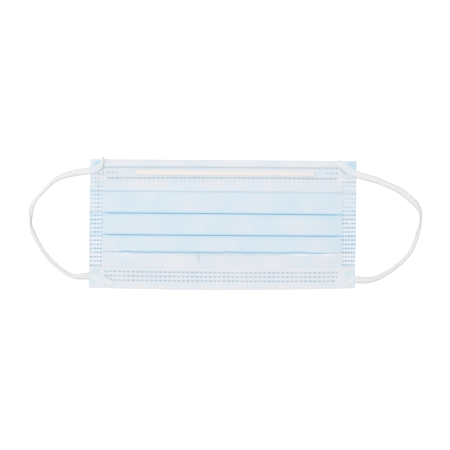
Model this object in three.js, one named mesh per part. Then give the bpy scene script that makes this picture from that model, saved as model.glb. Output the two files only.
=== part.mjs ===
// A pleated surgical face mask lying flat, blue front up, with its two ear loops spread out at the sides.
// Millimetres, +X to the right and +Y towards the nose edge as seen from the front, +Z up. The origin is
// on the surface that the mask lies on, under the middle of the cloth.
//
// The web of cloth is three plies that are pressed and welded together: it is one wall here. It is folded
// into knife pleats whose visible folds all point down, so the layers lie like shingles, three deep. The
// inner ply's edges are turned over the front along the top and the bottom: those two hems are solids of
// their own. The top hem holds the nose wire. Flat elastic loops are welded on the front of the corners.

import * as THREE from "three";

// ---- driving dimensions -------------------------------------------------------------------------------

const WIDTH = 175; // from side edge to side edge
const CLOTH = 1.0; // thickness of the pressed web, and of a turned hem
const GAP = 0.3; // air between two pieces that lie on each other
const PLEAT_AIR = { side: 0.3, middle: 0.55 }; // air between the layers of a pleat
const LEAN = 0.0135; // how far the side edges lean, per millimetre of height
const ENTRY_BEND = 6; // radius of the soft bend where the web climbs onto the first pleat
const ARC_STEP = 30; // degrees of a fold between two points of its section

// Height of each line that crosses the mask, where it meets the left edge, the middle and the right edge.
const LINES = {
  top_edge: { left: 43.1, middle: 42.5, right: 41.9 },
  wire_axis: { left: 34.5, middle: 33.9, right: 33.3 },
  top_hem_end: { left: 28.7, middle: 28.1, right: 27.5 },
  first_tuck: { left: 21.6, middle: 21.0, right: 20.2 },
  fold_1: { left: 7.8, middle: 7.2, right: 6.2 },
  fold_2: { left: -6.4, middle: -7.1, right: -7.7 },
  fold_3: { left: -17.7, middle: -18.4, right: -18.9 },
  bottom_hem_end: { left: -27.3, middle: -28.4, right: -27.7 },
  bottom_edge: { left: -41.5, middle: -43.1, right: -41.9 },
};
const FOLDS = ["fold_1", "fold_2", "fold_3"]; // the visible folds, from the nose edge down

const WIRE = { left: -57.1, right: 60.3, width: 3.2, thickness: 0.8 }; // along the top hem
const POCKET = { room: 0.4, slope: 1.8 }; // air beside the nose wire, and run of the hem's slope past that

const LOOP = { width: 4.8, thickness: 1.0, steps: 48 }; // the flat elastic of the ear loops

const COLOURS = { blue: 0xcfe2ee, white: 0xeef1f4, plastic: 0xf3f3ef, elastic: 0xe9e8e5 };

// ---- the web of cloth ---------------------------------------------------------------------------------

const LOW = CLOTH / 2; // height of the web's middle where it lies on the surface
const HEM_PITCH = CLOTH + GAP; // from the web's middle to the middle of the hem on it
const HEM_EDGE = HEM_PITCH / 2 + CLOTH / 2; // from the centre of a hem's turn to its outer edge

// Height of a line of the table at u, which runs from -1 at the left edge to 1 at the right edge.
function heightOf(name, u) {
  const { left, middle, right } = LINES[name];
  return middle + ((right - left) / 2) * u + ((left + right) / 2 - middle) * u * u;
}

// The mask leans a little: a line that crosses it at a height of y is shifted along X with that height.
function acrossAt(u, y) {
  return (u * WIDTH) / 2 + LEAN * y;
}

// A section's middle line, as points with the normal of the web's front, drawn by straight runs and arcs.
class Section {
  points = [];

  // A point of a straight run that heads down the mask: its front faces up.
  flat(y, z) {
    this.points.push({ y, z, ny: 0, nz: 1 });
    return this;
  }

  // An arc about (y, z) from one angle to another, in degrees. The front is outside when the angle grows.
  arc(y, z, radius, from, to) {
    const steps = Math.max(2, Math.ceil(Math.abs(to - from) / ARC_STEP));
    const side = Math.sign(to - from);
    for (let i = 0; i <= steps; i++) {
      const angle = THREE.MathUtils.degToRad(from + ((to - from) * i) / steps);
      const [cos, sin] = [Math.cos(angle), Math.sin(angle)];
      this.points.push({ y: y + radius * cos, z: z + radius * sin, ny: side * cos, nz: side * sin });
    }
    return this;
  }
}

// The pleated web. Each pleat is a fold that shows and a tuck behind it. The web climbs over the tuck,
// turns under at the fold, runs back up to the tuck, turns again and goes on below. All bends share
// centres, so the layers nest.
function webSection(u) {
  const air = THREE.MathUtils.lerp(PLEAT_AIR.middle, PLEAT_AIR.side, u * u);
  const pitch = CLOTH + air;
  const turn = pitch / 2; // radius of a fold's middle line
  const nest = 3 * turn; // radius of the layer that goes round a fold
  const edge = turn + CLOTH / 2; // from the centre of a fold to its outer edge
  const section = new Section();

  section.flat(heightOf("top_edge", u) - HEM_EDGE - GAP, LOW);
  let bend = ENTRY_BEND;
  let tuck = heightOf("first_tuck", u) - edge; // where the tuck's bend has its centre
  for (const name of FOLDS) {
    const fold = heightOf(name, u) + edge;
    const climb = Math.acos(1 - (2 * pitch) / (bend + nest));
    const degrees = THREE.MathUtils.radToDeg(climb);
    section
      .arc(tuck + (bend + nest) * Math.sin(climb), LOW + bend, bend, -90, -90 - degrees)
      .arc(tuck, LOW + turn, nest, 90 - degrees, 90)
      .arc(fold, LOW + pitch + turn, turn, 90, 270)
      .arc(tuck, LOW + turn, turn, 90, -90);
    bend = nest;
    tuck = fold - 2 * nest * Math.sin(Math.acos(1 / 3)); // the next tuck nests under this fold
  }
  section.flat(heightOf("bottom_edge", u) + HEM_EDGE + GAP, LOW);
  return section.points;
}

// ---- the turned hems ----------------------------------------------------------------------------------

// How far the top hem stands up over the nose wire at u: fully along the wire, not at all past its ends.
function pocketRise(u) {
  const x = acrossAt(u, heightOf("wire_axis", u));
  const past = Math.max(WIRE.left - POCKET.room - x, x - WIRE.right - POCKET.room, 0);
  return (WIRE.thickness + GAP) * Math.max(0, 1 - past / POCKET.slope);
}

function topHemSection(u) {
  const edge = heightOf("top_edge", u) - HEM_EDGE;
  const wire = heightOf("wire_axis", u);
  const reach = WIRE.width / 2 + POCKET.room;
  const z = LOW + HEM_PITCH;
  const raised = z + pocketRise(u);
  return new Section()
    .arc(edge, LOW + HEM_PITCH / 2, HEM_PITCH / 2, -90, 90)
    .flat(wire + reach + POCKET.slope, z)
    .flat(wire + reach, raised)
    .flat(wire - reach, raised)
    .flat(wire - reach - POCKET.slope, z)
    .flat(heightOf("top_hem_end", u), z).points;
}

function bottomHemSection(u) {
  const edge = heightOf("bottom_edge", u) + HEM_EDGE;
  return new Section()
    .flat(heightOf("bottom_hem_end", u), LOW + HEM_PITCH)
    .arc(edge, LOW + HEM_PITCH / 2, HEM_PITCH / 2, 90, 270).points;
}

// ---- solids -------------------------------------------------------------------------------------------

function even(count) {
  return Array.from({ length: count + 1 }, (_, i) => (2 * i) / count - 1);
}

// Stations of the top hem: the ends of its pocket are stations too, so the slopes there are straight.
function pocketStations() {
  const ends = [
    WIRE.left - POCKET.room - POCKET.slope,
    WIRE.left - POCKET.room,
    WIRE.right + POCKET.room,
    WIRE.right + POCKET.room + POCKET.slope,
  ];
  const shift = acrossAt(0, LINES.wire_axis.middle);
  return [...even(8), ...ends.map((x) => (2 * (x - shift)) / WIDTH)].sort((a, b) => a - b);
}

// A wall of cloth: a section at each station, given its thickness along the normals and joined up.
function clothGeometry(stations, sectionAt) {
  const sections = stations.map(sectionAt);
  const along = sections[0].length;
  const positions = [];
  for (const [k, section] of sections.entries())
    for (const p of section)
      for (const side of [0.5, -0.5]) {
        const y = p.y + p.ny * CLOTH * side;
        positions.push(acrossAt(stations[k], y), y, p.z + p.nz * CLOTH * side);
      }

  const faces = [];
  const at = (k, i, side) => 2 * (k * along + i) + side;
  const quad = (a, b, c, d) => faces.push(a, b, c, a, c, d);
  for (let k = 0; k + 1 < sections.length; k++) {
    for (let i = 0; i + 1 < along; i++) {
      quad(at(k, i, 0), at(k, i + 1, 0), at(k + 1, i + 1, 0), at(k + 1, i, 0));
      quad(at(k, i, 1), at(k + 1, i, 1), at(k + 1, i + 1, 1), at(k, i + 1, 1));
    }
    const last = along - 1;
    quad(at(k, 0, 0), at(k + 1, 0, 0), at(k + 1, 0, 1), at(k, 0, 1));
    quad(at(k, last, 0), at(k, last, 1), at(k + 1, last, 1), at(k + 1, last, 0));
  }
  const right = sections.length - 1;
  for (let i = 0; i + 1 < along; i++) {
    quad(at(0, i, 0), at(0, i, 1), at(0, i + 1, 1), at(0, i + 1, 0));
    quad(at(right, i, 0), at(right, i + 1, 0), at(right, i + 1, 1), at(right, i, 1));
  }

  return new THREE.BufferGeometry()
    .setAttribute("position", new THREE.Float32BufferAttribute(positions, 3))
    .setIndex(faces);
}

// The nose wire: a flat strip with round edges, along X, resting on z = 0.
function wireGeometry() {
  const [w, t] = [WIRE.width / 2, WIRE.thickness];
  const profile = new THREE.Shape()
    .moveTo(-w + t / 2, 0)
    .lineTo(w - t / 2, 0)
    .absarc(w - t / 2, t / 2, t / 2, -Math.PI / 2, Math.PI / 2)
    .lineTo(-w + t / 2, t)
    .absarc(-w + t / 2, t / 2, t / 2, Math.PI / 2, (3 * Math.PI) / 2);
  const length = WIRE.right - WIRE.left;
  return new THREE.ExtrudeGeometry(profile, { depth: length, bevelEnabled: false, curveSegments: 4 })
    .rotateX(Math.PI / 2)
    .rotateZ(Math.PI / 2);
}

// Middle lines of the ear loops, from the weld on the top corner to the weld on the bottom corner. They
// lie on the hems at both ends, drop past the side edge, and lie on the surface in between.
const LEFT_LOOP = [
  [-78.6, 44.4, 3.2],
  [-78.8, 40.8, 3.2],
  [-80.4, 37.6, 3.2],
  [-84.2, 36.0, 3.2],
  [-88.6, 35.2, 3.1],
  [-94.6, 34.2, 1.9],
  [-100.5, 32.8, 0.9],
  [-106.6, 30.7, 0.6],
  [-112.4, 26.8, 0.6],
  [-118.2, 20.8, 0.6],
  [-122.3, 15.8, 0.6],
  [-124.6, 10.6, 0.6],
  [-125.4, 4.9, 0.6],
  [-126.1, 0.4, 0.6],
  [-124.9, -5.9, 0.6],
  [-121.8, -12.0, 0.6],
  [-118.2, -17.8, 0.6],
  [-114.1, -23.1, 0.6],
  [-109.4, -27.3, 0.6],
  [-104.8, -30.9, 0.6],
  [-100.6, -33.5, 0.8],
  [-96.4, -34.5, 1.5],
  [-92.0, -34.2, 2.7],
  [-87.6, -33.8, 3.3],
  [-82.6, -35.2, 3.2],
  [-77.4, -37.1, 3.2],
  [-72.3, -39.0, 3.2],
];
const RIGHT_LOOP = [
  [75.2, 41.0, 3.2],
  [79.2, 38.5, 3.2],
  [83.6, 35.5, 3.3],
  [88.2, 32.9, 3.3],
  [94.6, 30.8, 2.2],
  [100.6, 29.1, 0.9],
  [106.5, 26.6, 0.6],
  [112.4, 24.0, 0.6],
  [118.3, 20.8, 0.6],
  [123.0, 16.8, 0.6],
  [127.1, 12.4, 0.6],
  [129.6, 7.6, 0.6],
  [130.2, 2.2, 0.6],
  [129.5, -3.4, 0.6],
  [128.1, -8.4, 0.6],
  [126.3, -13.4, 0.6],
  [123.6, -18.6, 0.6],
  [118.6, -24.3, 0.6],
  [112.6, -29.3, 0.6],
  [106.6, -33.1, 0.6],
  [101.4, -35.5, 0.8],
  [96.6, -36.7, 1.6],
  [91.8, -36.6, 2.8],
  [87.2, -36.3, 3.3],
  [83.6, -37.5, 3.2],
  [80.2, -39.3, 3.2],
];

// A loop's flat elastic: one section with cut corners, along its middle line. Its width lies level.
function loopGeometry(points) {
  const [w, t] = [LOOP.width / 2, LOOP.thickness / 2];
  const corner = t / 2;
  const profile = new THREE.Shape([
    new THREE.Vector2(-t, -w + corner),
    new THREE.Vector2(-t + corner, -w),
    new THREE.Vector2(t - corner, -w),
    new THREE.Vector2(t, -w + corner),
    new THREE.Vector2(t, w - corner),
    new THREE.Vector2(t - corner, w),
    new THREE.Vector2(-t + corner, w),
    new THREE.Vector2(-t, w - corner),
  ]);
  const path = new THREE.CatmullRomCurve3(points.map((p) => new THREE.Vector3(...p)));
  return new THREE.ExtrudeGeometry(profile, { steps: LOOP.steps, extrudePath: path, bevelEnabled: false });
}

// ---- assembly -----------------------------------------------------------------------------------------

function piece(name, geometry, color, roughness) {
  const mesh = new THREE.Mesh(geometry, new THREE.MeshStandardMaterial({ color, roughness, metalness: 0 }));
  mesh.name = name;
  return mesh;
}

const mask = new THREE.Group();
mask.add(piece("pleated_panel", clothGeometry(even(12), webSection), COLOURS.blue, 0.85));
mask.add(piece("top_hem", clothGeometry(pocketStations(), topHemSection), COLOURS.white, 0.85));
mask.add(piece("bottom_hem", clothGeometry(even(12), bottomHemSection), COLOURS.white, 0.85));

const wire = piece("nose_wire", wireGeometry(), COLOURS.plastic, 0.45);
wire.position.set(WIRE.left, heightOf("wire_axis", (2 * WIRE.left) / WIDTH), CLOTH + GAP);
wire.rotation.z = Math.atan2(LINES.wire_axis.right - LINES.wire_axis.left, WIDTH);
mask.add(wire);

mask.add(piece("ear_loop_left", loopGeometry(LEFT_LOOP), COLOURS.elastic, 0.9));
mask.add(piece("ear_loop_right", loopGeometry(RIGHT_LOOP), COLOURS.elastic, 0.9));

export default mask;
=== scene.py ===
import math

import bmesh
import bpy
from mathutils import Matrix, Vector, noise


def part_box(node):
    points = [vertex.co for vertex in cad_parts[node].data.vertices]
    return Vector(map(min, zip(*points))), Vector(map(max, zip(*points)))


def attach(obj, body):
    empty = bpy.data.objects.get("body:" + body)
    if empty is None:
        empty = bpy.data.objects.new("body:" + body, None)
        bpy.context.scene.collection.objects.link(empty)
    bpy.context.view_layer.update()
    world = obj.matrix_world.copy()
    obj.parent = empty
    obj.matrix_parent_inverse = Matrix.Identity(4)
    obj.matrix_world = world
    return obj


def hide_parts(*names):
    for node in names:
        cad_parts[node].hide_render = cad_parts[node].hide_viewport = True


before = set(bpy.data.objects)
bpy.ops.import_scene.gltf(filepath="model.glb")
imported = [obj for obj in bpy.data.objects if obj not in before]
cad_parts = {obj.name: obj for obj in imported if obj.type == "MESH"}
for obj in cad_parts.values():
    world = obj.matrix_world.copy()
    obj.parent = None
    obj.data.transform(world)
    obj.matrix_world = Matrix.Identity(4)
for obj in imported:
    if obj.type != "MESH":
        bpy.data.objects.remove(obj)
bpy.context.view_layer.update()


# ---- the inner ply -------------------------------------------------------------------------------------
# The ply next to the face is white spunbond polypropylene. Folding plates lay it in knife pleats together
# with the filter ply and the outer ply, and rollers weld the three at the sides, so the three of them
# share the folds made here. Its two long edges are turned over the front as the hems.

MM = 0.001
WIDTH = 175.0  # millimetres, from side edge to side edge
LEAN = 0.0135  # how far the side edges lean, per millimetre of height
PLY = 0.11  # thickness of one ply
PLY_STEP = 0.125  # from the middle of one ply to the middle of the next
WEB = 2 * PLY_STEP + PLY  # thickness of the three plies together
LOW = WEB / 2 + 0.01  # height of the web's middle where it lies on the table
LOWEST_PLY = LOW - PLY_STEP

# Heights of the lines that cross the mask: at the left edge, in the middle and at the right edge. The
# first tuck is the faint line over the hidden fold of the first pleat.
LINES = {
    "top_edge": (43.1, 42.5, 41.9),
    "wire_axis": (34.5, 33.9, 33.3),
    "top_hem_end": (28.7, 28.1, 27.5),
    "first_tuck": (21.6, 21.0, 20.2),
    "fold_1": (7.8, 7.2, 6.2),
    "fold_2": (-6.4, -7.1, -7.7),
    "fold_3": (-17.7, -18.4, -18.9),
    "bottom_hem_end": (-27.3, -28.4, -27.7),
    "bottom_edge": (-41.5, -43.1, -41.9),
}
# The folds that face down, and how many steps the mesh takes over the cloth above each of them.
FOLDS = {"fold_1": 31, "fold_2": 28, "fold_3": 22}
LAST_FOLD_ENDS = (-68.0, 66.0)  # the last fold is sharp between these places, and slack outside them
PITCH_AT_SIDE = 0.38  # from one layer of a pleat to the next, where the side weld holds it down
PITCH_INSIDE = 0.56  # the same where the pleats are free to spring up
CLIMB = math.acos(1 / 3)  # how steeply two arcs of one and a half pitches climb by two pitches
FADE = 1.2  # how far from a fold the shade painted along its crease starts to show
TUCK_FADE = 1.6  # the same below the tuck under a fold
LAST_STEP = 0.35  # how much of the climb onto the first pleat comes right at its line
TAIL_BEND = 5.0  # radius of the bend where the web comes down again below the last pleat
TAIL_RISE = 0.7  # how far the web stands up off the table there, as a share of the layers' pitch
TAIL_RISE_AT_ENDS = 1.3  # the same at the last fold's slack ends


def mix(a, b, share):
    return a + (b - a) * share


def smooth(t):
    """Rises softly from 0 at t = 0 to 1 at t = 1."""
    t = min(max(t, 0.0), 1.0)
    return t * t * (3 - 2 * t)


def wave(x, y, size, seed=0.0):
    """A smooth random surface between about -1 and 1, whose swells are about size millimetres long.
    Each seed gives another one."""
    return 2 * noise.noise(Vector((x / size, y / size, seed)))


def height_of(name, across):
    """Height of one of the LINES, for across from -1 at the left edge to 1 at the right edge."""
    left, middle, right = LINES[name]
    bow = (left + right) / 2 - middle
    return middle + (right - left) / 2 * across + bow * across * across


def last_fold_sharp(x):
    """How sharp the last fold is at a place, from 0 to 1."""
    left, right = LAST_FOLD_ENDS
    return smooth((x - left) / 6 + 0.5) * smooth((right - x) / 12 + 0.5)


# A section is a list of points down the cloth, each of them (y, z, the front's normal y and z, how many
# layers lie under it as a share of the full stack, how much shade is painted along its crease). These
# four lay stretches of it.


def run_to(path, y, z, steps, stack=1.0):
    """A straight run from the last point."""
    y0, z0 = path[-1][:2]
    dy, dz = y - y0, z - z0
    length = math.hypot(dy, dz)
    for i in range(1, steps + 1):
        share = i / steps
        path.append((mix(y0, y, share), mix(z0, z, share), dz / length, -dy / length, stack, 0.0))


def fade_to(path, y, z, steps, shade_and_film):
    """A level run over which the shade painted along a crease comes up or dies away."""
    y0 = path[-1][0]
    for i in range(1, steps + 1):
        share = i / steps
        path.append((mix(y0, y, share), z, 0.0, 1.0, 1.0, mix(*shade_and_film, share)))


def glide_to(path, y, z, steps, stack=1.0, shade_and_film=0.0):
    """A soft slope that leaves the last point level and ends level."""
    y0, z0 = path[-1][:2]
    for i in range(1, steps + 1):
        share = i / steps
        slope = 6 * share * (1 - share) * (z - z0) / (y - y0)
        length = math.hypot(1, slope)
        point = (mix(y0, y, share), mix(z0, z, smooth(share)))
        path.append((*point, -slope / length, 1 / length, stack, shade_and_film))


def arc(path, y, z, radius, start, end, steps, stack=1.0, shade_and_film=(0.0, 0.0)):
    """An arc about (y, z), in degrees. The front is on its outside where the angle grows."""
    side = 1 if end > start else -1
    for i in range(1, steps + 1):
        share = i / steps
        angle = math.radians(mix(start, end, share))
        ny, nz = math.cos(angle), math.sin(angle)
        point = (y + radius * ny, z + radius * nz)
        path.append((*point, side * ny, side * nz, stack, mix(*shade_and_film, smooth(share))))


def web_section(across):
    """The middle of the folded web, from its top cut edge to its bottom one. It runs down as one layer,
    climbs onto the first pleat, is three layers deep to the last fold and ends as one layer."""
    x = across * WIDTH / 2
    pitch = mix(PITCH_AT_SIDE, PITCH_INSIDE, smooth((1 - abs(across) - 0.1) / 0.09))
    top_layer = LOW + 2 * pitch
    turn = pitch / 2  # radius of a fold
    nest = 3 * turn  # radius of the two bends where the web climbs from the table onto a pleat
    edge = turn + WEB / 2  # from the middle of a fold's bend to its outside
    climb_degrees = math.degrees(CLIMB)
    sharp = last_fold_sharp(x)
    first_line = height_of("first_tuck", across)
    tuck = first_line - edge
    # The last number of each point is the shade painted along the creases: into the groove under each
    # fold, and along the first tuck's line.
    path = [(height_of("top_edge", across) - 1.0, LOW, 0.0, 1.0, 0.3, 0.0)]
    run_to(path, height_of("top_hem_end", across) + 1.0, LOW, 8, 0.0)
    glide_to(path, first_line + 1.0, top_layer - LAST_STEP, 12, 0.15)
    glide_to(path, first_line, top_layer, 5, 0.6, 0.25)
    run_to(path, first_line - 0.4, top_layer, 2)
    for name, steps in FOLDS.items():
        fold = height_of(name, across) + edge
        shade_and_film = 1.0
        if name == "fold_3":
            fold += 0.3 * wave(x, 0, 14, 3.0) + 0.25 * wave(x, 5, 5, 4.0)  # it wavers a little
            shade_and_film = sharp
        if name != "fold_1":
            foot = tuck + 2 * nest * math.sin(CLIMB)
            run_to(path, foot, LOW, 6)
            arc(path, foot, LOW + nest, nest, -90, -90 - climb_degrees, 6, 1.0, (1.0, 1.0))
            arc(path, tuck, LOW + turn, nest, 90 - climb_degrees, 90, 6, 1.0, (1.0, 0.3))
            fade_to(path, tuck - TUCK_FADE, top_layer, 3, (0.35, 0.0))
        run_to(path, fold + FADE, top_layer, steps)
        fade_to(path, fold, top_layer, 3, (0.0, 0.7 * shade_and_film))
        arc(path, fold, LOW + pitch + turn, turn, 90, 270, 9, 1.0, (0.7 * shade_and_film, shade_and_film))
        run_to(path, tuck, LOW + pitch, 7)
        arc(path, tuck, LOW + turn, turn, 90, -90, 7)
        tuck = fold - 2 * nest * math.sin(CLIMB)
    rise = mix(TAIL_RISE_AT_ENDS, TAIL_RISE, sharp) * pitch
    tail_climb = math.acos(1 - rise / (TAIL_BEND + nest))
    tail_degrees = math.degrees(tail_climb)
    top = fold - (TAIL_BEND + nest) * math.sin(tail_climb)
    below_fold, below_bend = (sharp, 0.7 * sharp), (0.5 * sharp, 0.0)
    run_to(path, fold, LOW, 6)
    arc(path, fold, LOW + nest, nest, -90, -90 - tail_degrees, 4, 0.6, below_fold)
    arc(path, top, LOW + rise - TAIL_BEND, TAIL_BEND, 90 - tail_degrees, 90, 5, 0.2, below_bend)
    glide_to(path, height_of("bottom_hem_end", across) + 0.5, LOW, 19, 0.0)
    run_to(path, height_of("bottom_edge", across) + 1.0, LOW, 9, 0.0)
    return path


# The side weld: a roller presses rows of small dots through the whole stack of pleats. Each column has
# its distance from the middle, and how deep its dots are above the first fold and below it.
DOT_COLUMNS = (
    (-86.0, 0.4, 0.95),
    (-83.8, 0.65, 1.0),
    (-81.8, 1.1, 1.1),
    (-79.7, 0.5, 1.0),
    (79.3, 0.3, 0.95),
    (81.3, 0.35, 0.95),
    (83.2, 0.4, 1.0),
    (85.1, 0.35, 0.9),
    (86.8, 0.3, 0.75),
)
NO_DOTS = 77.0  # nearer to the middle than this there are none
DOT_ROWS = {"top": 33.3, "bottom": -26.6, "pitch": 2.72}
DOT = (1.25, 0.92)  # width and height
MARK_SLOPE = 0.7  # how much of a mark's half width its sloping side takes
WELD_WIDTH = 9.2  # of the strip at each side edge that the roller presses flat
SIDE_PRESS = 0.4  # how far it presses that strip down, as a share of its height
DOT_PRESS = 0.3  # how far it presses a dot down, as a share of what is left of the height


def mark(dx, dy, size):
    """How deep a weld mark of that size is pressed at this distance from its middle, from 0 to 1."""
    far = max(abs(dx) / size[0], abs(dy) / size[1]) * 2
    return smooth((1 - far) / MARK_SLOPE + 0.5)


def above_first_fold(y):
    """Where the roller presses less deep: 0 below the first fold, and 1 well above it."""
    return smooth((y - 4) / 8)


def dot_depth(x, y):
    """How deep the side weld's dots are pressed at a place, from 0 to 1."""
    if abs(x) < NO_DOTS:
        return 0.0
    column, upper, lower = min(DOT_COLUMNS, key=lambda row: abs(x - LEAN * y - row[0]))
    row = round((y - DOT_ROWS["bottom"]) / DOT_ROWS["pitch"])
    row_y = DOT_ROWS["bottom"] + row * DOT_ROWS["pitch"]
    if not DOT_ROWS["bottom"] - 1 < row_y < DOT_ROWS["top"] + 1:
        return 0.0
    uneven = 0.9 + 0.4 * wave(column, row_y, 2.5, 7.0)
    strength = mix(lower, upper, above_first_fold(row_y)) * uneven
    return min(1.0, strength) * mark(x - LEAN * y - column, y - row_y, DOT)


def in_side_weld(across, blend=1.2):
    """How far a place is inside the side weld's strip, from 0 to 1. Its inner side fades over blend
    millimetres."""
    from_edge = (1 - abs(across)) * WIDTH / 2
    return smooth((from_edge - 0.2) / 0.7) * smooth((WELD_WIDTH - from_edge) / blend + 0.5)


PINCH_PLACE = (-15.7, -22.0)
PINCH_LEAN = 0.12  # how far it leans, per millimetre of height
PINCH_HALF_WIDTH = 0.9


def pinch(x, y):
    """The one upright pinch in the web, between the last fold and the bottom hem, from 0 to 1."""
    aside = x - PINCH_PLACE[0] + PINCH_LEAN * (y - PINCH_PLACE[1])
    along = smooth((-18.4 - y) / 1.2) * smooth((y + 26.5) / 5)
    return math.exp(-((aside / PINCH_HALF_WIDTH) ** 2)) * along


def pressed_height(x, y, z, across):
    """Height of a point of the folded web once it is pressed, pinched and slack as a real one is."""
    top = height_of("top_hem_end", across)
    bottom = height_of("bottom_hem_end", across)
    between_hems = smooth((top - 1 - y) / 5) * smooth((y - bottom - 1) / 4)
    inside = smooth((1 - abs(across) - 0.1) / 0.25)
    slack = 0.07 * wave(x, y, 34, 21.0) + 0.05 * wave(x, y, 13, 22.0)
    lift = between_hems * inside * (0.1 + 0.1 * wave(x, y, 20, 23.0)) + 0.35 * pinch(x, y)
    kept = (1 - SIDE_PRESS * in_side_weld(across, 3.4)) * (1 - DOT_PRESS * dot_depth(x, y))
    return LOWEST_PLY + (z - LOWEST_PLY) * (kept + slack * inside * between_hems) + lift


# Where shade is painted along the folds: the line, the distance above it, how dark the shade is painted,
# and from where to where across the mask.
FOLD_SHADE_LINES = (
    ("first_tuck", 0.4, 0.28, -WIDTH, WIDTH),
    ("fold_3", 0.0, 0.2, -67.0, 66.0),
    ("fold_3", -1.5, 0.16, -28.0, 38.0),
)


def painted_fold_shade(x, y, across):
    """How much shade is painted along the folds at a place, from 0 to 1."""
    found = 0.0
    for name, above, depth, left, right in FOLD_SHADE_LINES:
        aside = abs(y - height_of(name, across) - above)
        along = smooth((x - left) / 6 + 0.5) * smooth((right - x) / 6 + 0.5)
        along *= 0.85 + 0.4 * wave(x, y, 26, 31.0)
        found = max(found, depth * along * smooth(1 - aside / 1.1))
    return found


def painted_ridge_highlights(x, y):
    """Where highlights are painted, from 0 to 1: on the ridge under the last fold's two ends, and between
    the rows of dots."""
    below = height_of("fold_3", 2 * x / WIDTH) - y
    ridge = smooth((below - 0.2) / 0.7) * smooth((1.9 - below) / 0.8)
    right = smooth((x - 44) / 6) * smooth((74 - x) / 6)
    left = smooth((-60 - x) / 4) * smooth((x + 72) / 3)
    between_rows = 0.5 - 0.5 * math.cos(2 * math.pi * (y - DOT_ROWS["bottom"]) / DOT_ROWS["pitch"])
    in_strip = smooth((abs(x) - 78.6) / 1.2) * smooth((y + 27) / 2) * mix(0.45, 0.2, above_first_fold(y))
    return max(0.7 * ridge * max(left, right), in_strip * between_rows)


def ply_at(offset):
    """Gives the function that lays a ply which lies offset in front of the web's middle."""

    def lay_ply(across, point):
        y, z, ny, nz, stack, shade_and_film = point
        y += ny * offset
        z += nz * offset
        x = across * WIDTH / 2 + LEAN * y
        # The crease look is shade painted along the folds, the weld look also carries shade painted along
        # the pinch and some fold lines, and the last look is a painted highlight.
        looks = {
            "stack": stack + 0.15 * in_side_weld(across),
            "shade_and_film": shade_and_film * (1 - 0.85 * in_side_weld(across)),
            "weld": max(dot_depth(x, y), 0.3 * pinch(x, y), painted_fold_shade(x, y, across)),
            "painted_highlight": painted_ridge_highlights(x, y),
        }
        return (x, y, pressed_height(x, y, z, across)), looks

    return lay_ply


def columns(side_step, middle_step, extra):
    """Where the cloth's columns stand, from -1 to 1: close together in the side welds, further apart
    between them, and with the extra ones."""
    side = 10.0  # width of the strip at each side with close columns
    half = WIDTH / 2
    count = round(side / side_step)
    left = [-half + side * i / count for i in range(count)]
    count = round((WIDTH - 2 * side) / middle_step)
    middle = [-half + side + (WIDTH - 2 * side) * i / count for i in range(count + 1)]
    right = [-x for x in reversed(left)]
    return [x / half for x in sorted({round(x, 4) for x in [*left, *middle, *extra, *right]})]


def unrolled(section):
    """How far along a section each of its points lies, in millimetres."""
    lengths = [0.0]
    for a, b in zip(section, section[1:]):
        lengths.append(lengths[-1] + math.hypot(b[0] - a[0], b[1] - a[1]))
    return lengths


def soft_piece(name, bm, flat, thickness):
    """Makes a piece of a bmesh. A UV map called cut keeps where each vertex is in the flat cloth, in
    millimetres."""
    cut = bm.loops.layers.uv.new("cut")
    for face in bm.faces:
        face.smooth = True
        for loop in face.loops:
            loop[cut].uv = flat[loop.vert.index]
    mesh = bpy.data.meshes.new(name)
    bm.to_mesh(mesh)
    bm.free()
    piece = bpy.data.objects.new(name, mesh)
    bpy.context.scene.collection.objects.link(piece)
    solid = piece.modifiers.new("thickness", "SOLIDIFY")
    solid.thickness = thickness * MM
    solid.offset = 0.0
    return piece


def cloth(name, across_list, section_at, lay, thickness):
    """A grid that is laid flat as it is cut, and then folded: each column takes its section's points.
    lay gives a point and its looks, which the material reads as attributes: stack for how many layers
    lie there, then the shade painted along folds (which the hems also use for their fused film), how far
    it is fused (which also carries shade painted along some folds and the pinch), and a painted
    highlight."""
    sections = [section_at(across) for across in across_list]
    rows = len(sections[0])
    lengths = unrolled(sections[len(sections) // 2])
    bm = bmesh.new()
    bmesh.ops.create_grid(bm, x_segments=len(sections) - 1, y_segments=rows - 1, size=0.5)
    layers = {key: bm.verts.layers.float.new(key) for key in ("stack", "shade_and_film", "weld", "painted_highlight")}
    flat = {}
    for vert in bm.verts:
        column = round((vert.co.x + 0.5) * (len(sections) - 1))
        row = round((0.5 - vert.co.y) * (rows - 1))
        flat[vert.index] = (across_list[column] * WIDTH / 2, lengths[row])
        point, looks = lay(across_list[column], sections[column][row])
        vert.co = Vector(point) * MM
        for key, value in looks.items():
            vert[layers[key]] = value
    return soft_piece(name, bm, flat, thickness)


def linear(code):
    """A colour's linear red, green, blue and alpha from its sRGB hex code."""
    parts = [int(code[i : i + 2], 16) / 255 for i in (1, 3, 5)]
    return [c / 12.92 if c <= 0.04045 else ((c + 0.055) / 1.055) ** 2.4 for c in parts] + [1.0]


def new_material(name):
    material = bpy.data.materials.new(name)
    material.use_nodes = True
    material.node_tree.nodes.clear()
    return material, material.node_tree


def add(tree, kind, settings=None, **inputs):
    """Adds a shader node with its settings and its inputs, where an input is a value or an output. An
    input that has no name of its own goes by its number, as _0 or _1."""
    made = tree.nodes.new("ShaderNode" + kind)
    for key, value in (settings or {}).items():
        setattr(made, key, value)
    for key, value in inputs.items():
        socket = made.inputs[int(key[1:])] if key[1:].isdigit() else made.inputs[key.replace("_", " ")]
        if isinstance(value, bpy.types.NodeSocket):
            tree.links.new(value, socket)
        else:
            socket.default_value = value
    return made


COLOURS = {"data_type": "RGBA"}  # a Mix node of two colours takes them as _6 and _7, and gives output 2
SCALED = {"operation": "MULTIPLY_ADD"}  # a Math node that gives _0 times _1 plus _2
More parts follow.
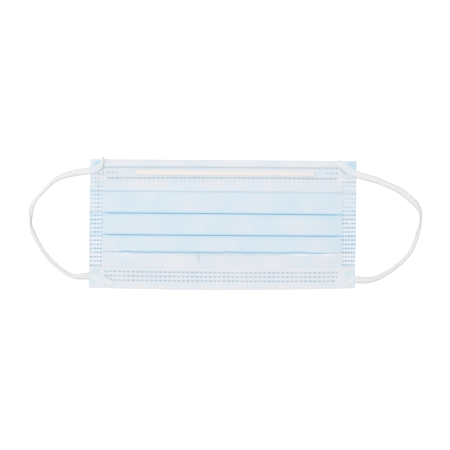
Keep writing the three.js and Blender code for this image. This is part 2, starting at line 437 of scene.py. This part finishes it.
# The patterns' scales: how many of each there are in so many millimetres of the flat cloth.
CLOUDS = 1 / 20  # wide cloudy patches
FELT_SPOTS = 11 / 20  # the felt's uneven spots
THREAD_TANGLES = 16 / 5
BOND_POINTS = 9 / 10  # drawn a little coarser than they are, so that they show


def spunbond(name, base, deep, shade_and_film_colour, fused_and_shaded, lifted_highlight, roughness):
    """Spunbond polypropylene: a felt of fine melt-spun threads, pressed between hot rollers that leave
    a regular pattern of small bond points. It is matt and slightly mottled to the eye. Its colours are
    those of one layer, a deep stack, the shade painted in creases (also the hems' fused film), a weld
    (also the shade painted along some folds), and the painted highlight on lifted cloth."""
    material, tree = new_material(name)
    cut = add(tree, "UVMap", {"uv_map": "cut"}).outputs["UV"]
    felt = add(tree, "TexNoise", Vector=cut, Scale=FELT_SPOTS, Detail=5.0, Roughness=0.62)
    cloud = add(tree, "TexNoise", Vector=cut, Scale=CLOUDS, Detail=3.0, Roughness=0.6)
    threads = add(tree, "TexNoise", Vector=cut, Scale=THREAD_TANGLES, Detail=3.0, Roughness=0.7)
    bond_scale = (BOND_POINTS, BOND_POINTS, 1)
    turned = add(tree, "Mapping", Vector=cut, Rotation=(0, 0, math.radians(45)), Scale=bond_scale)
    in_plane = {"voronoi_dimensions": "2D"}
    bonds = add(tree, "TexVoronoi", in_plane, Vector=turned.outputs[0], Scale=1.0, Randomness=0.0)
    from_bond = bonds.outputs["Distance"]
    bond = add(tree, "MapRange", Value=from_bond, From_Min=0.16, From_Max=0.3, To_Min=1.0, To_Max=0.0)

    # The more layers lie there, the deeper the colour, made uneven by the patches and the felt.
    stack = add(tree, "Attribute", {"attribute_name": "stack"}).outputs["Fac"]
    level = add(tree, "MapRange", Value=stack, To_Min=0.3, To_Max=0.7)
    drift = add(tree, "Math", SCALED, _0=cloud.outputs["Fac"], _1=1.8, _2=-0.9)
    mottle = add(tree, "Math", SCALED, _0=felt.outputs["Fac"], _1=0.7, _2=-0.35)
    uneven = add(tree, "Math", {"operation": "ADD"}, _0=drift.outputs[0], _1=mottle.outputs[0])
    held_in = {"operation": "ADD", "use_clamp": True}
    depth = add(tree, "Math", held_in, _0=level.outputs[0], _1=uneven.outputs[0])
    stacked = add(tree, "Mix", COLOURS, _0=depth.outputs[0], _6=linear(base), _7=linear(deep))

    # A painted highlight on lifted cloth, then the shade painted in creases (which the hems also use for
    # their fused film), then the welds, whose colour also paints shade along some folds and the pinch.
    painted_highlight = add(tree, "Attribute", {"attribute_name": "painted_highlight"}).outputs["Fac"]
    shade_and_film = add(tree, "Attribute", {"attribute_name": "shade_and_film"}).outputs["Fac"]
    weld = add(tree, "Attribute", {"attribute_name": "weld"}).outputs["Fac"]
    highlighted = add(tree, "Mix", COLOURS, _0=painted_highlight, _6=stacked.outputs[2], _7=linear(lifted_highlight))
    fold_shaded = add(tree, "Mix", COLOURS, _0=shade_and_film, _6=highlighted.outputs[2], _7=linear(shade_and_film_colour))
    welded = add(tree, "Mix", COLOURS, _0=weld, _6=fold_shaded.outputs[2], _7=linear(fused_and_shaded))

    # The relief of the threads and the bond points, and a weld's smoother film.
    relief = add(tree, "Math", SCALED, _0=threads.outputs["Fac"], _1=0.6, _2=felt.outputs["Fac"])
    pressed = add(tree, "Math", SCALED, _0=bond.outputs[0], _1=-0.35, _2=relief.outputs[0])
    bump = add(tree, "Bump", Strength=0.35, Distance=0.12 * MM, Height=pressed.outputs[0])
    film = add(tree, "MapRange", Value=weld, To_Min=roughness, To_Max=0.38)
    shader = add(
        tree,
        "BsdfPrincipled",
        Base_Color=welded.outputs[2],
        Roughness=film.outputs[0],
        Normal=bump.outputs[0],
        IOR=1.49,
        Sheen_Weight=0.08,
    )
    add(tree, "OutputMaterial", Surface=shader.outputs[0])
    return material


# Undyed, it is a cool white. It turns bluish where it is fused onto the blue ply, and bluish shade is
# painted into its creases and the empty wire pocket.
white_spunbond = spunbond(
    "white spunbond polypropylene",
    base="#D6D6D8",
    deep="#C8D1D9",
    shade_and_film_colour="#A0C8D8",
    fused_and_shaded="#8BA4B5",
    lifted_highlight="#D8D6D5",
    roughness=0.78,
)
PINCH_COLUMNS = [-19.0 + 0.6 * i for i in range(12)]  # more columns where the web is pinched
ACROSS = columns(0.36, 1.9, PINCH_COLUMNS)
FLAT = (WIDTH * MM, unrolled(web_section(0.0))[-1] * MM)

inner_ply = cloth("inner_ply", ACROSS, web_section, ply_at(-PLY_STEP), PLY)
inner_ply.data.materials.append(white_spunbond)
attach(inner_ply, "root")


# ---- the filter ply ------------------------------------------------------------------------------------
# The middle ply is melt-blown polypropylene, a soft white web of threads far finer than spunbond. It
# shows only as the middle line of the cut edges at the sides.

# Its threads are too fine to see, so it is an even white without a shine.
melt_blown = spunbond(
    "melt-blown polypropylene",
    base="#E9EAEA",
    deep="#E6E8E9",
    shade_and_film_colour="#DDE1E4",
    fused_and_shaded="#C5CFD6",
    lifted_highlight="#E9EAEA",
    roughness=0.9,
)
filter_ply = cloth("filter_ply", ACROSS, web_section, ply_at(0.0), PLY)
filter_ply.data.materials.append(melt_blown)
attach(filter_ply, "root")


# ---- the outer ply -------------------------------------------------------------------------------------
# The front ply is spunbond polypropylene dyed pale blue in the melt, so it is blue all through. Thin
# as it is, it looks paler where one layer lies on white, and bluer where pleats stack it up.

# The dye shows most where the felt is dense: in the stack and in welds. The deeper blue in its creases
# is painted shade, and the paler colour where it is lifted is a painted highlight.
blue_spunbond = spunbond(
    "pale blue spunbond polypropylene",
    base="#D3D4D8",
    deep="#C1D1DB",
    shade_and_film_colour="#A6CCDF",
    fused_and_shaded="#80A3B9",
    lifted_highlight="#E2E4E8",
    roughness=0.75,
)
outer_ply = cloth("outer_ply", ACROSS, web_section, ply_at(PLY_STEP), PLY)
outer_ply.data.materials.append(blue_spunbond)
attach(outer_ply, "root")
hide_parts("pleated_panel")


# ---- the nose wire -------------------------------------------------------------------------------------
# A flat strip of white polyethylene with two soft iron wires in it, cut to length and laid on the web
# before the top hem is welded over it. It keeps the shape that it is bent to over the nose.

WEB_TOP = LOW + WEB / 2
WIRE_WIDTH = 3.1
WIRE_THICKNESS = 0.6
WIRE_EDGE = 0.25  # how much its long edges are rounded
WIRE_GAP = 0.03  # between the web and the wire
wire_low, wire_high = (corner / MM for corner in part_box("nose_wire"))

bm = bmesh.new()
bmesh.ops.create_cube(bm, size=1.0)
bmesh.ops.scale(bm, vec=(wire_high.x - wire_low.x, WIRE_WIDTH, WIRE_THICKNESS), verts=bm.verts)
long_edges = [e for e in bm.edges if abs(e.verts[0].co.x - e.verts[1].co.x) > 1]
bmesh.ops.bevel(
    bm, geom=long_edges, offset=WIRE_EDGE, affect="EDGES", segments=4, profile=0.5, material=-1
)
for vert in bm.verts:
    x = vert.co.x + (wire_low.x + wire_high.x) / 2
    y = vert.co.y + height_of("wire_axis", 2 * x / WIDTH)
    vert.co = Vector((x, y, vert.co.z + WEB_TOP + WIRE_GAP + WIRE_THICKNESS / 2)) * MM
mesh = bpy.data.meshes.new("wire_strip")
bm.to_mesh(mesh)
bm.free()
wire_strip = bpy.data.objects.new("wire_strip", mesh)
bpy.context.scene.collection.objects.link(wire_strip)

# Extruded polyethylene: milky and a little waxy, with faint draw lines along its length. They are a
# quarter of a millimetre apart and 50 mm long.
DRAW_LINES = (1 / (50 * MM), 1 / (0.25 * MM), 1 / (0.25 * MM))
polyethylene, tree = new_material("white polyethylene")
on_strip = add(tree, "TexCoord").outputs["Object"]
stretched = add(tree, "Mapping", Vector=on_strip, Scale=DRAW_LINES).outputs[0]
draw_lines = add(tree, "TexNoise", Vector=stretched, Scale=1.0, Detail=2.0).outputs["Fac"]
milky = add(tree, "Mix", COLOURS, _0=draw_lines, _6=linear("#F4F4F0"), _7=linear("#EDEDE8"))
bump = add(tree, "Bump", Strength=0.2, Distance=0.05 * MM, Height=draw_lines)
shader = add(
    tree, "BsdfPrincipled", Base_Color=milky.outputs[2], Roughness=0.42, IOR=1.51, Normal=bump.outputs[0]
)
add(tree, "OutputMaterial", Surface=shader.outputs[0])
wire_strip.data.materials.append(polyethylene)
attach(wire_strip, "root")
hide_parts("nose_wire")


# ---- the hems ------------------------------------------------------------------------------------------
# The inner ply's long edges are turned over the front and welded down with rows of short dashes, which
# melt the white ply to a film that shows the blue under it. The nose wire lifts the top hem.

HEM = 0.12  # thickness of a hem
HEM_MIDDLE = WEB_TOP + 0.02 + HEM / 2
TURN_RADIUS = (HEM_MIDDLE - LOWEST_PLY) / 2  # the hem starts as the inner ply, under the web
HEM_STEPS = 46  # steps that the mesh takes down the front of a hem
HEM_ACROSS = [i / 240 - 1 for i in range(481)]  # its columns, as close as the dashes need
POCKET_SLOPE = 0.5  # millimetres over which the hem comes down beside the wire
POCKET_LIFT = WIRE_THICKNESS + 0.02
WELD_SINK = 0.12  # how far a weld mark is pressed into the hem
FILM_SINK = 0.05  # how far the fused film round a loop's end is pressed in
RAW_EDGE_SINK = 0.06  # how far the hem's cut edge is pressed in

# The seams: height at the left edge, in the middle and at the right edge, where the first and the last
# dash are, how deep the dashes are, their width and height, and how deep the groove between them is.
DASH_PITCH = 2.98
DASH_REACH = 1.5  # nothing of a dash is further than this from its middle
SEAMS = (
    (37.6, 37.5, 36.8, -77.0, 75.0, 0.8, (1.8, 0.8), 0.42),
    (30.6, 30.6, 29.8, -75.2, 75.2, 1.0, (1.8, 0.95), 0.45),
    (29.3, 29.0, 28.3, -75.2, 75.2, 0.4, (1.1, 0.5), 0.0),
    (34.2, 34.2, 34.2, -75.2, -68.6, 0.8, (1.8, 0.8), 0.1),
    (33.4, 33.4, 33.4, 68.8, 74.8, 0.8, (1.8, 0.8), 0.1),
    (-30.4, -31.7, -31.6, -76.6, 74.0, 0.95, (1.9, 0.9), 0.1),
    (-33.3, -34.4, -34.3, -76.6, 74.0, 0.9, (1.9, 0.9), 0.1),
    (-36.2, -37.2, -37.1, -73.5, 74.0, 0.95, (1.9, 0.9), 0.1),
)
# Where the hem is fused to a bluish film round the loops' ends: the middle and the half size of an
# oval, its turn in degrees, and how far it is fused.
FILMS = (
    (-82.4, 40.6, 3.2, 1.3, 26, 0.9),
    (-85.6, 37.6, 0.9, 2.0, 0, 0.35),
    (85.0, 38.8, 4.4, 3.8, -30, 0.7),
    (-83.2, -31.0, 3.6, 3.0, 0, 0.35),
    (-85.2, -37.4, 2.6, 1.5, -20, 0.35),
    (83.4, -33.0, 3.6, 3.0, 0, 0.3),
)
# The creases that the loops' ends press into the hem, given in the same way, with shade painted darker
# along them.
END_CREASE_SHADES = (
    (-78.3, 34.4, 0.55, 3.4, 6, 0.55),
    (79.2, 34.7, 4.6, 0.9, -38, 0.5),
    (-74.6, -35.0, 3.8, 0.35, -20, 0.6),
    (83.2, -36.9, 3.1, 0.3, -8, 0.7),
)


def dash_depth(x, y):
    """How deep the hems' seams are pressed at a place, from 0 to 1."""
    deepest = 0.0
    across = 2 * x / WIDTH
    for left, middle, right, first, last, depth, size, groove in SEAMS:
        seam = middle + (right - left) / 2 * across + ((left + right) / 2 - middle) * across**2
        if abs(y - seam) < DASH_REACH and first - DASH_REACH < x < last + DASH_REACH:
            last_dash = round((last - first) / DASH_PITCH)
            nearest = min(max(round((x - first) / DASH_PITCH), 0), last_dash)
            dash = first + nearest * DASH_PITCH
            uneven = 0.85 + 0.22 * wave(dash, seam, 9, 11.0)
            pressed = depth * uneven * mark(x - dash, y - seam, size)
            line = groove * smooth((1.0 - abs(y - seam)) / 0.7) if first < x < last else 0.0
            deepest = max(deepest, min(1.0, pressed), line)
    return deepest


def depth_in(table, x, y):
    """How deep a place lies in the ovals of a table, from 0 to 1."""
    found = 0.0
    for cx, cy, half_x, half_y, degrees, depth in table:
        turn = math.radians(degrees)
        along = ((x - cx) * math.cos(turn) + (y - cy) * math.sin(turn)) / half_x
        beside = ((y - cy) * math.cos(turn) - (x - cx) * math.sin(turn)) / half_y
        found = max(found, depth * smooth(1.25 - 0.95 * math.hypot(along, beside)))
    return found


def past_wire(x):
    """How far a place is past the nearer end of the wire, and less than zero beside the wire."""
    return max(wire_low.x - x, x - wire_high.x)


def over_wire(x, y, across):
    """How far the nose wire lifts the hem at a place, from 0 to 1."""
    beside = abs(y - height_of("wire_axis", across)) - WIRE_WIDTH / 2
    return smooth(1 - beside / POCKET_SLOPE) * smooth(1 - past_wire(x) / POCKET_SLOPE)


def pocket_shade(x, y, across):
    """How much shade is painted in the empty pocket past the wire's two ends, from 0 to 1."""
    past = past_wire(x)
    beside = abs(y - height_of("wire_axis", across) - 0.2)
    return 0.22 * smooth(past / 1.0) * smooth((7.5 - past) / 4) * smooth((1.5 - beside) / 0.8)


def hem_blue(y, across):
    """How deep the hem's colour is made, from 0 to 1: most in the wire's pocket, where the blue shows
    through, and in a thin line along the folded edge."""
    if y > 0:
        upper, lower = (height_of("wire_axis", across) + step for step in (3.4, -3.2))
        between = smooth((upper - y) / 0.8) * smooth((y - lower) / 0.8)
        return max(0.1 + 0.8 * between, smooth((0.9 - height_of("top_edge", across) + y) / 0.6))
    return max(0.4, smooth((0.9 - y + height_of("bottom_edge", across)) / 0.6))


def lay_hem(across, point):
    """Gives a point of a hem and its looks. Only the front of it is marked."""
    y, z = point[:2]
    x = across * WIDTH / 2 + LEAN * y
    looks = {"stack": 0.0, "shade_and_film": 0.0, "weld": 0.0, "painted_highlight": 0.0}
    if z > HEM_MIDDLE - 0.01:
        # Along the loops' ends the weld also paints shade; the empty pocket past the wire gets painted
        # shade, and the hem over the wire a painted highlight.
        weld = max(dash_depth(x, y), dot_depth(x, y), depth_in(END_CREASE_SHADES, x, y))
        film = depth_in(FILMS, x, y)
        lifted_highlight = over_wire(x, y, across)
        raw_edge = height_of("top_hem_end" if y > 0 else "bottom_hem_end", across)
        z += POCKET_LIFT * lifted_highlight - WELD_SINK * weld - FILM_SINK * film
        z -= RAW_EDGE_SINK * smooth(1 - abs(y - raw_edge) / 0.8)
        looks = {
            "stack": hem_blue(y, across),
            "shade_and_film": max(0.9 * film, pocket_shade(x, y, across)),
            "weld": weld,
            "painted_highlight": lifted_highlight,
        }
    return (x, y, z), looks


def top_hem_section(across):
    """From under the web's top edge, round it, and down the front to the hem's cut edge."""
    edge = height_of("top_edge", across) - TURN_RADIUS - HEM / 2
    path = [(height_of("top_edge", across) - 1.0, LOWEST_PLY, 0.0, -1.0, 0.0, 0.0)]
    run_to(path, edge, LOWEST_PLY, 2)
    arc(path, edge, LOWEST_PLY + TURN_RADIUS, TURN_RADIUS, -90, 90, 8)
    run_to(path, height_of("top_hem_end", across), HEM_MIDDLE, HEM_STEPS)
    return path


def bottom_hem_section(across):
    """From the hem's cut edge down the front, and round the web's bottom edge to under it."""
    edge = height_of("bottom_edge", across) + TURN_RADIUS + HEM / 2
    path = [(height_of("bottom_hem_end", across), HEM_MIDDLE, 0.0, 1.0, 0.0, 0.0)]
    run_to(path, edge, HEM_MIDDLE, HEM_STEPS)
    arc(path, edge, LOWEST_PLY + TURN_RADIUS, TURN_RADIUS, 90, 270, 8)
    run_to(path, height_of("bottom_edge", across) + 1.0, LOWEST_PLY, 2)
    return path


for node, section_at in (("top_hem", top_hem_section), ("bottom_hem", bottom_hem_section)):
    hem = cloth(node + "_turned", HEM_ACROSS, section_at, lay_hem, HEM)
    hem.data.materials.append(white_spunbond)
    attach(hem, "root")
    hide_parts(node)


# ---- the ear loops -------------------------------------------------------------------------------------
# Each ear loop is a length of flat knitted elastic, about 4 mm wide, with fine ribs along it. It is
# welded by its ends to the front of two corners. Left slack it rolls in on itself and turns over once.

LEFT_LOOP = (
    (-78.6, 44.4, 3.2),
    (-78.8, 40.8, 3.2),
    (-80.4, 37.6, 3.2),
    (-84.2, 36.0, 3.2),
    (-88.6, 35.2, 3.1),
    (-94.6, 34.2, 1.9),
    (-100.5, 32.8, 0.9),
    (-106.6, 30.7, 0.6),
    (-112.4, 26.8, 0.6),
    (-118.2, 20.8, 0.6),
    (-122.3, 15.8, 0.6),
    (-124.6, 10.6, 0.6),
    (-125.4, 4.9, 0.6),
    (-126.1, 0.4, 0.6),
    (-124.9, -5.9, 0.6),
    (-121.8, -12.0, 0.6),
    (-118.2, -17.8, 0.6),
    (-114.1, -23.1, 0.6),
    (-109.4, -27.3, 0.6),
    (-104.8, -30.9, 0.6),
    (-100.6, -33.5, 0.8),
    (-96.4, -34.5, 1.5),
    (-92.0, -34.2, 2.7),
    (-87.6, -33.8, 3.3),
    (-82.6, -35.2, 3.2),
    (-77.4, -37.1, 3.2),
    (-72.3, -39.0, 3.2),
)
RIGHT_LOOP = (
    (75.2, 41.0, 3.2),
    (79.2, 38.5, 3.2),
    (83.6, 35.5, 3.3),
    (88.2, 32.9, 3.3),
    (94.6, 30.8, 2.2),
    (100.6, 29.1, 0.9),
    (106.5, 26.6, 0.6),
    (112.4, 24.0, 0.6),
    (118.3, 20.8, 0.6),
    (123.0, 16.8, 0.6),
    (127.1, 12.4, 0.6),
    (129.6, 7.6, 0.6),
    (130.2, 2.2, 0.6),
    (129.5, -3.4, 0.6),
    (128.1, -8.4, 0.6),
    (126.3, -13.4, 0.6),
    (123.6, -18.6, 0.6),
    (118.6, -24.3, 0.6),
    (112.6, -29.3, 0.6),
    (106.6, -33.1, 0.6),
    (101.4, -35.5, 0.8),
    (96.6, -36.7, 1.6),
    (91.8, -36.6, 2.8),
    (87.2, -36.3, 3.3),
    (83.6, -37.5, 3.2),
    (80.2, -39.3, 3.2),
)
# How the elastic lies at each point of its route: how far it is turned over, how far it is rolled in
# on itself (less than zero once it shows its other face), both in degrees, and how wide it is drawn.
LEFT_LAY = (
    (-40, 0, 0.25), (-34, 0, 0.5), (-20, 0, 0.8), (-5, 0, 1), (0, 30, 1), (6, 90, 1), (12, 130, 1),
    (16, 180, 1), (22, 250, 1), (32, 275, 1), (42, 270, 1), (52, 190, 1), (78, 40, 0.85), (96, -50, 0.85),
    (116, -210, 1), (128, -265, 1), (135, -275, 1), (140, -275, 1), (146, -275, 1), (152, -270, 1),
    (158, -240, 1), (164, -180, 1), (171, -110, 1), (178, -40, 1), (180, 0, 1), (180, 0, 1), (180, 0, 1),
)
RIGHT_LAY = (
    (0, 0, 1), (0, 0, 1), (-3, 0, 1), (-6, 20, 1), (-8, 60, 1), (-10, 100, 1), (-12, 130, 1),
    (-14, 130, 1), (-18, 80, 1), (-26, 40, 1), (-50, 40, 1), (-80, 10, 0.9), (-100, -90, 0.9),
    (-114, -220, 1), (-122, -265, 1), (-128, -275, 1), (-134, -265, 1), (-140, -245, 1), (-146, -225, 1),
    (-152, -190, 1), (-160, -150, 1), (-166, -110, 1), (-172, -60, 1), (-177, -20, 1), (-180, 0, 1),
    (-180, 0, 1),
)
ELASTIC_WIDTH = 4.1
ELASTIC = 0.6  # thickness
RIBS = 4
RIB_HEIGHT = 0.08
COURSE = 1.3  # millimetres from one of the knit's raised courses to the next
COURSE_HEIGHT = 0.02
LOOP_STEP = 0.55  # millimetres from one row of the mesh to the next
HEM_TOP = HEM_MIDDLE + HEM / 2
END_SINK = 0.4  # how far a welded end is pressed into the hem
TABLE_GAP = 0.04  # between the table and the elastic's middle line


def spline(points, index, share):
    """A point of the smooth curve through the points, on the stretch after the one with that index."""
    last = len(points) - 1
    p0, p1, p2, p3 = (points[min(max(index + k, 0), last)] for k in (-1, 0, 1, 2))
    t = share
    found = []
    for a, b, c, d in zip(p0, p1, p2, p3):
        bend = (2 * a - 5 * b + 4 * c - d) * t**2 + (3 * b - a - 3 * c + d) * t**3
        found.append(0.5 * (2 * b + (c - a) * t + bend))
    return found


def roll(v, curl, width):
    """Side and up of a point of the elastic's section, v from -1 to 1, and how far it leans there."""
    along = v * width / 2
    angle = math.radians(curl)
    if abs(angle) < 0.02:
        return along, 0.0, 0.0
    radius = width / angle
    lean = along / radius
    return radius * math.sin(lean), radius * (math.cos(lean) - 1), lean


def resting_heights(steps):
    """How high the elastic's middle is at each step, so that its lowest side rests on what is under it.
    The route's own height is 0.6 on the table and 3 or more on the hems."""
    heights = []
    for place, (turned, curl, drawn) in steps:
        on_hem = smooth((place[2] - 0.6) / 2.4)
        welded = smooth((WIDTH / 2 + 0.5 - abs(place[0])) / 3)
        support = mix(TABLE_GAP, HEM_TOP - END_SINK * welded, on_hem)
        tilt = math.radians(turned)
        lowest = 0.0
        for k in range(-10, 11):
            side, up, _ = roll(k / 10, curl, drawn * ELASTIC_WIDTH)
            lowest = min(lowest, side * math.sin(tilt) + up * math.cos(tilt))
        heights.append(support - lowest + ELASTIC / 2)
    last = len(heights) - 1
    for _ in range(6):  # each pass smooths the heights along the elastic
        heights = [
            (heights[max(i - 1, 0)] + 2 * heights[i] + heights[min(i + 1, last)]) / 4
            for i in range(last + 1)
        ]
    return heights


def ear_loop(name, node, route, lay):
    """Makes an ear loop: flat elastic whose rows of vertices are rolled, turned and set on the route."""
    steps = []
    for index in range(len(route) - 1):
        length = (Vector(route[index + 1]) - Vector(route[index])).length
        count = max(2, round(length / LOOP_STEP))
        for k in range(count):
            steps.append((spline(route, index, k / count), spline(lay, index, k / count)))
    steps.append((list(route[-1]), list(lay[-1])))
    last = len(steps) - 1

    places = [Vector(place) for place, _ in steps]
    aheads = []
    for i in range(last + 1):
        after, before = places[min(i + 1, last)], places[max(i - 1, 0)]
        aheads.append(Vector((after.x - before.x, after.y - before.y, 0)).normalized())
    lengths = [0.0]
    for a, b in zip(places, places[1:]):
        lengths.append(lengths[-1] + (b - a).length)
    middles = [Vector((p.x, p.y, height)) for p, height in zip(places, resting_heights(steps))]

    bm = bmesh.new()
    bmesh.ops.create_grid(bm, x_segments=last, y_segments=10 * RIBS, size=0.5)
    weld_layer = bm.verts.layers.float.new("weld")
    flat = {}
    for vert in bm.verts:
        i = round((vert.co.x + 0.5) * last)
        v = 2 * vert.co.y
        from_end = min(lengths[i], lengths[-1] - lengths[i])
        on_mask = smooth((WIDTH / 2 + 1.5 - abs(places[i].x)) / 3)
        vert[weld_layer] = on_mask * mix(0.3, 1.0, smooth((from_end - 3) / 4))  # paler at its very tip
        turned, curl, drawn = steps[i][1]
        side, up, lean = roll(v, curl, drawn * ELASTIC_WIDTH)
        ribs = RIB_HEIGHT * math.cos(math.pi * RIBS * (v + 1))
        courses = COURSE_HEIGHT * math.cos(2 * math.pi * lengths[i] / COURSE)
        side += (ribs + courses) * math.sin(lean)
        up += (ribs + courses) * math.cos(lean)
        tilt = math.radians(turned)
        level = Vector((aheads[i].y, -aheads[i].x, 0))
        out = side * math.cos(tilt) - up * math.sin(tilt)
        rise = side * math.sin(tilt) + up * math.cos(tilt)
        flat[vert.index] = (v * ELASTIC_WIDTH / 2, lengths[i])
        vert.co = (middles[i] + level * out + Vector((0, 0, rise))) * MM
    loop_piece = soft_piece(name, bm, flat, ELASTIC)
    loop_piece.data.materials.append(knitted_elastic)
    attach(loop_piece, "root")
    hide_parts(node)


# Knitted elastic: white polyester loops over covered rubber, off-white and matt. It is ribbed along its
# length, with the knit's small stitches along each rib. Shade is painted darker in the hollows between
# the ribs and along its two edges.
RIB_TURN = 2 * math.pi * RIBS / ELASTIC_WIDTH
STITCH_TURN = 2 * math.pi / 0.9  # a stitch is 0.9 mm long
FUZZ_SPOTS = 3 / 1  # three of the yarn's fuzzy spots in a millimetre
MULTIPLY = {"operation": "MULTIPLY"}
knitted_elastic, tree = new_material("knitted polyester elastic")
cut = add(tree, "UVMap", {"uv_map": "cut"}).outputs["UV"]
split = add(tree, "SeparateXYZ", Vector=cut)
rib_angle = add(tree, "Math", MULTIPLY, _0=split.outputs[0], _1=RIB_TURN)
rib = add(tree, "Math", {"operation": "COSINE"}, _0=rib_angle.outputs[0])
stitch_angle = add(tree, "Math", MULTIPLY, _0=split.outputs[1], _1=STITCH_TURN)
stitch = add(tree, "Math", {"operation": "SINE"}, _0=stitch_angle.outputs[0])
knit = add(tree, "Math", MULTIPLY, _0=rib.outputs[0], _1=stitch.outputs[0])
fuzz = add(tree, "TexNoise", Vector=cut, Scale=FUZZ_SPOTS, Detail=4.0, Roughness=0.7)
fuzzy = add(tree, "Math", SCALED, _0=knit.outputs[0], _1=0.12, _2=fuzz.outputs["Fac"])
ribbed = add(tree, "Math", SCALED, _0=rib.outputs[0], _1=0.16, _2=fuzzy.outputs[0])
bump = add(tree, "Bump", Strength=0.5, Distance=0.15 * MM, Height=ribbed.outputs[0])
# The yarn is painted darker in the hollows between the ribs, as shade, and uneven with its fuzz.
rib_shade_and_fuzz = add(tree, "MapRange", Value=ribbed.outputs[0], From_Min=0.2, From_Max=0.85)
yarn = add(tree, "Mix", COLOURS, _0=rib_shade_and_fuzz.outputs[0], _6=linear("#CCCBCA"), _7=linear("#E8E7E6"))
# Shade painted darker grey along the elastic's two edges.
from_middle = add(tree, "Math", {"operation": "ABSOLUTE"}, _0=split.outputs[0])
edge_shade = add(tree, "MapRange", Value=from_middle.outputs[0], From_Min=1.3, From_Max=2.1, To_Max=0.6)
edge_shaded = add(tree, "Mix", COLOURS, _0=edge_shade.outputs[0], _6=yarn.outputs[2], _7=linear("#B8B8B8"))
weld = add(tree, "Attribute", {"attribute_name": "weld"}).outputs["Fac"]
ends = add(tree, "Mix", COLOURS, _0=weld, _6=edge_shaded.outputs[2], _7=linear("#D2D7DB"))
shader = add(
    tree,
    "BsdfPrincipled",
    Base_Color=ends.outputs[2],
    Roughness=0.85,
    Normal=bump.outputs[0],
    IOR=1.5,
    Sheen_Weight=0.15,
)
add(tree, "OutputMaterial", Surface=shader.outputs[0])

ear_loop("left_elastic", "ear_loop_left", LEFT_LOOP, LEFT_LAY)
ear_loop("right_elastic", "ear_loop_right", RIGHT_LOOP, RIGHT_LAY)


# ---- the table, the light and the camera ---------------------------------------------------------------
# The mask lies on a white table under a wide soft light, and the camera looks straight down on it.

TABLE_REACH = 3.0  # metres from its middle to each side
bm = bmesh.new()
bmesh.ops.create_grid(bm, x_segments=1, y_segments=1, size=TABLE_REACH)
mesh = bpy.data.meshes.new("table")
bm.to_mesh(mesh)
bm.free()
table = bpy.data.objects.new("table", mesh)
bpy.context.scene.collection.objects.link(table)

# Table paint: white and matt, so that the light leaves no shine on it.
paint, tree = new_material("white table paint")
shader = add(tree, "BsdfPrincipled", Base_Color=linear("#FAFAFA"), Roughness=0.9)
add(tree, "OutputMaterial", Surface=shader.outputs[0])
table.data.materials.append(paint)

world = bpy.data.worlds.new("white room")
bpy.context.scene.world = world
world.use_nodes = True
world.node_tree.nodes["Background"].inputs["Color"].default_value = (1, 1, 1, 1)
world.node_tree.nodes["Background"].inputs["Strength"].default_value = 0.55

softbox = bpy.data.lights.new("softbox", "AREA")
softbox.shape = "RECTANGLE"
softbox.size = 1.1
softbox.size_y = 0.8
softbox.energy = 12.2
softbox_object = bpy.data.objects.new("softbox", softbox)
softbox_object.location = (-0.12, 0.1, 1.2)
softbox_object.rotation_euler = softbox_object.location.to_track_quat("Z", "Y").to_euler()
bpy.context.scene.collection.objects.link(softbox_object)

LENS = 85.0
SENSOR = 36.0
VIEW_WIDTH = 0.2958  # metres of table across the picture
camera = bpy.data.cameras.new("camera")
camera.lens = LENS
camera.sensor_width = SENSOR
camera_object = bpy.data.objects.new("camera", camera)
# Over the middle of the whole mask, loops included.
camera_object.location = (0.0016, -0.0003, VIEW_WIDTH * LENS / SENSOR)
bpy.context.scene.collection.objects.link(camera_object)
bpy.context.scene.camera = camera_object
bpy.context.scene.view_settings.view_transform = "Standard"
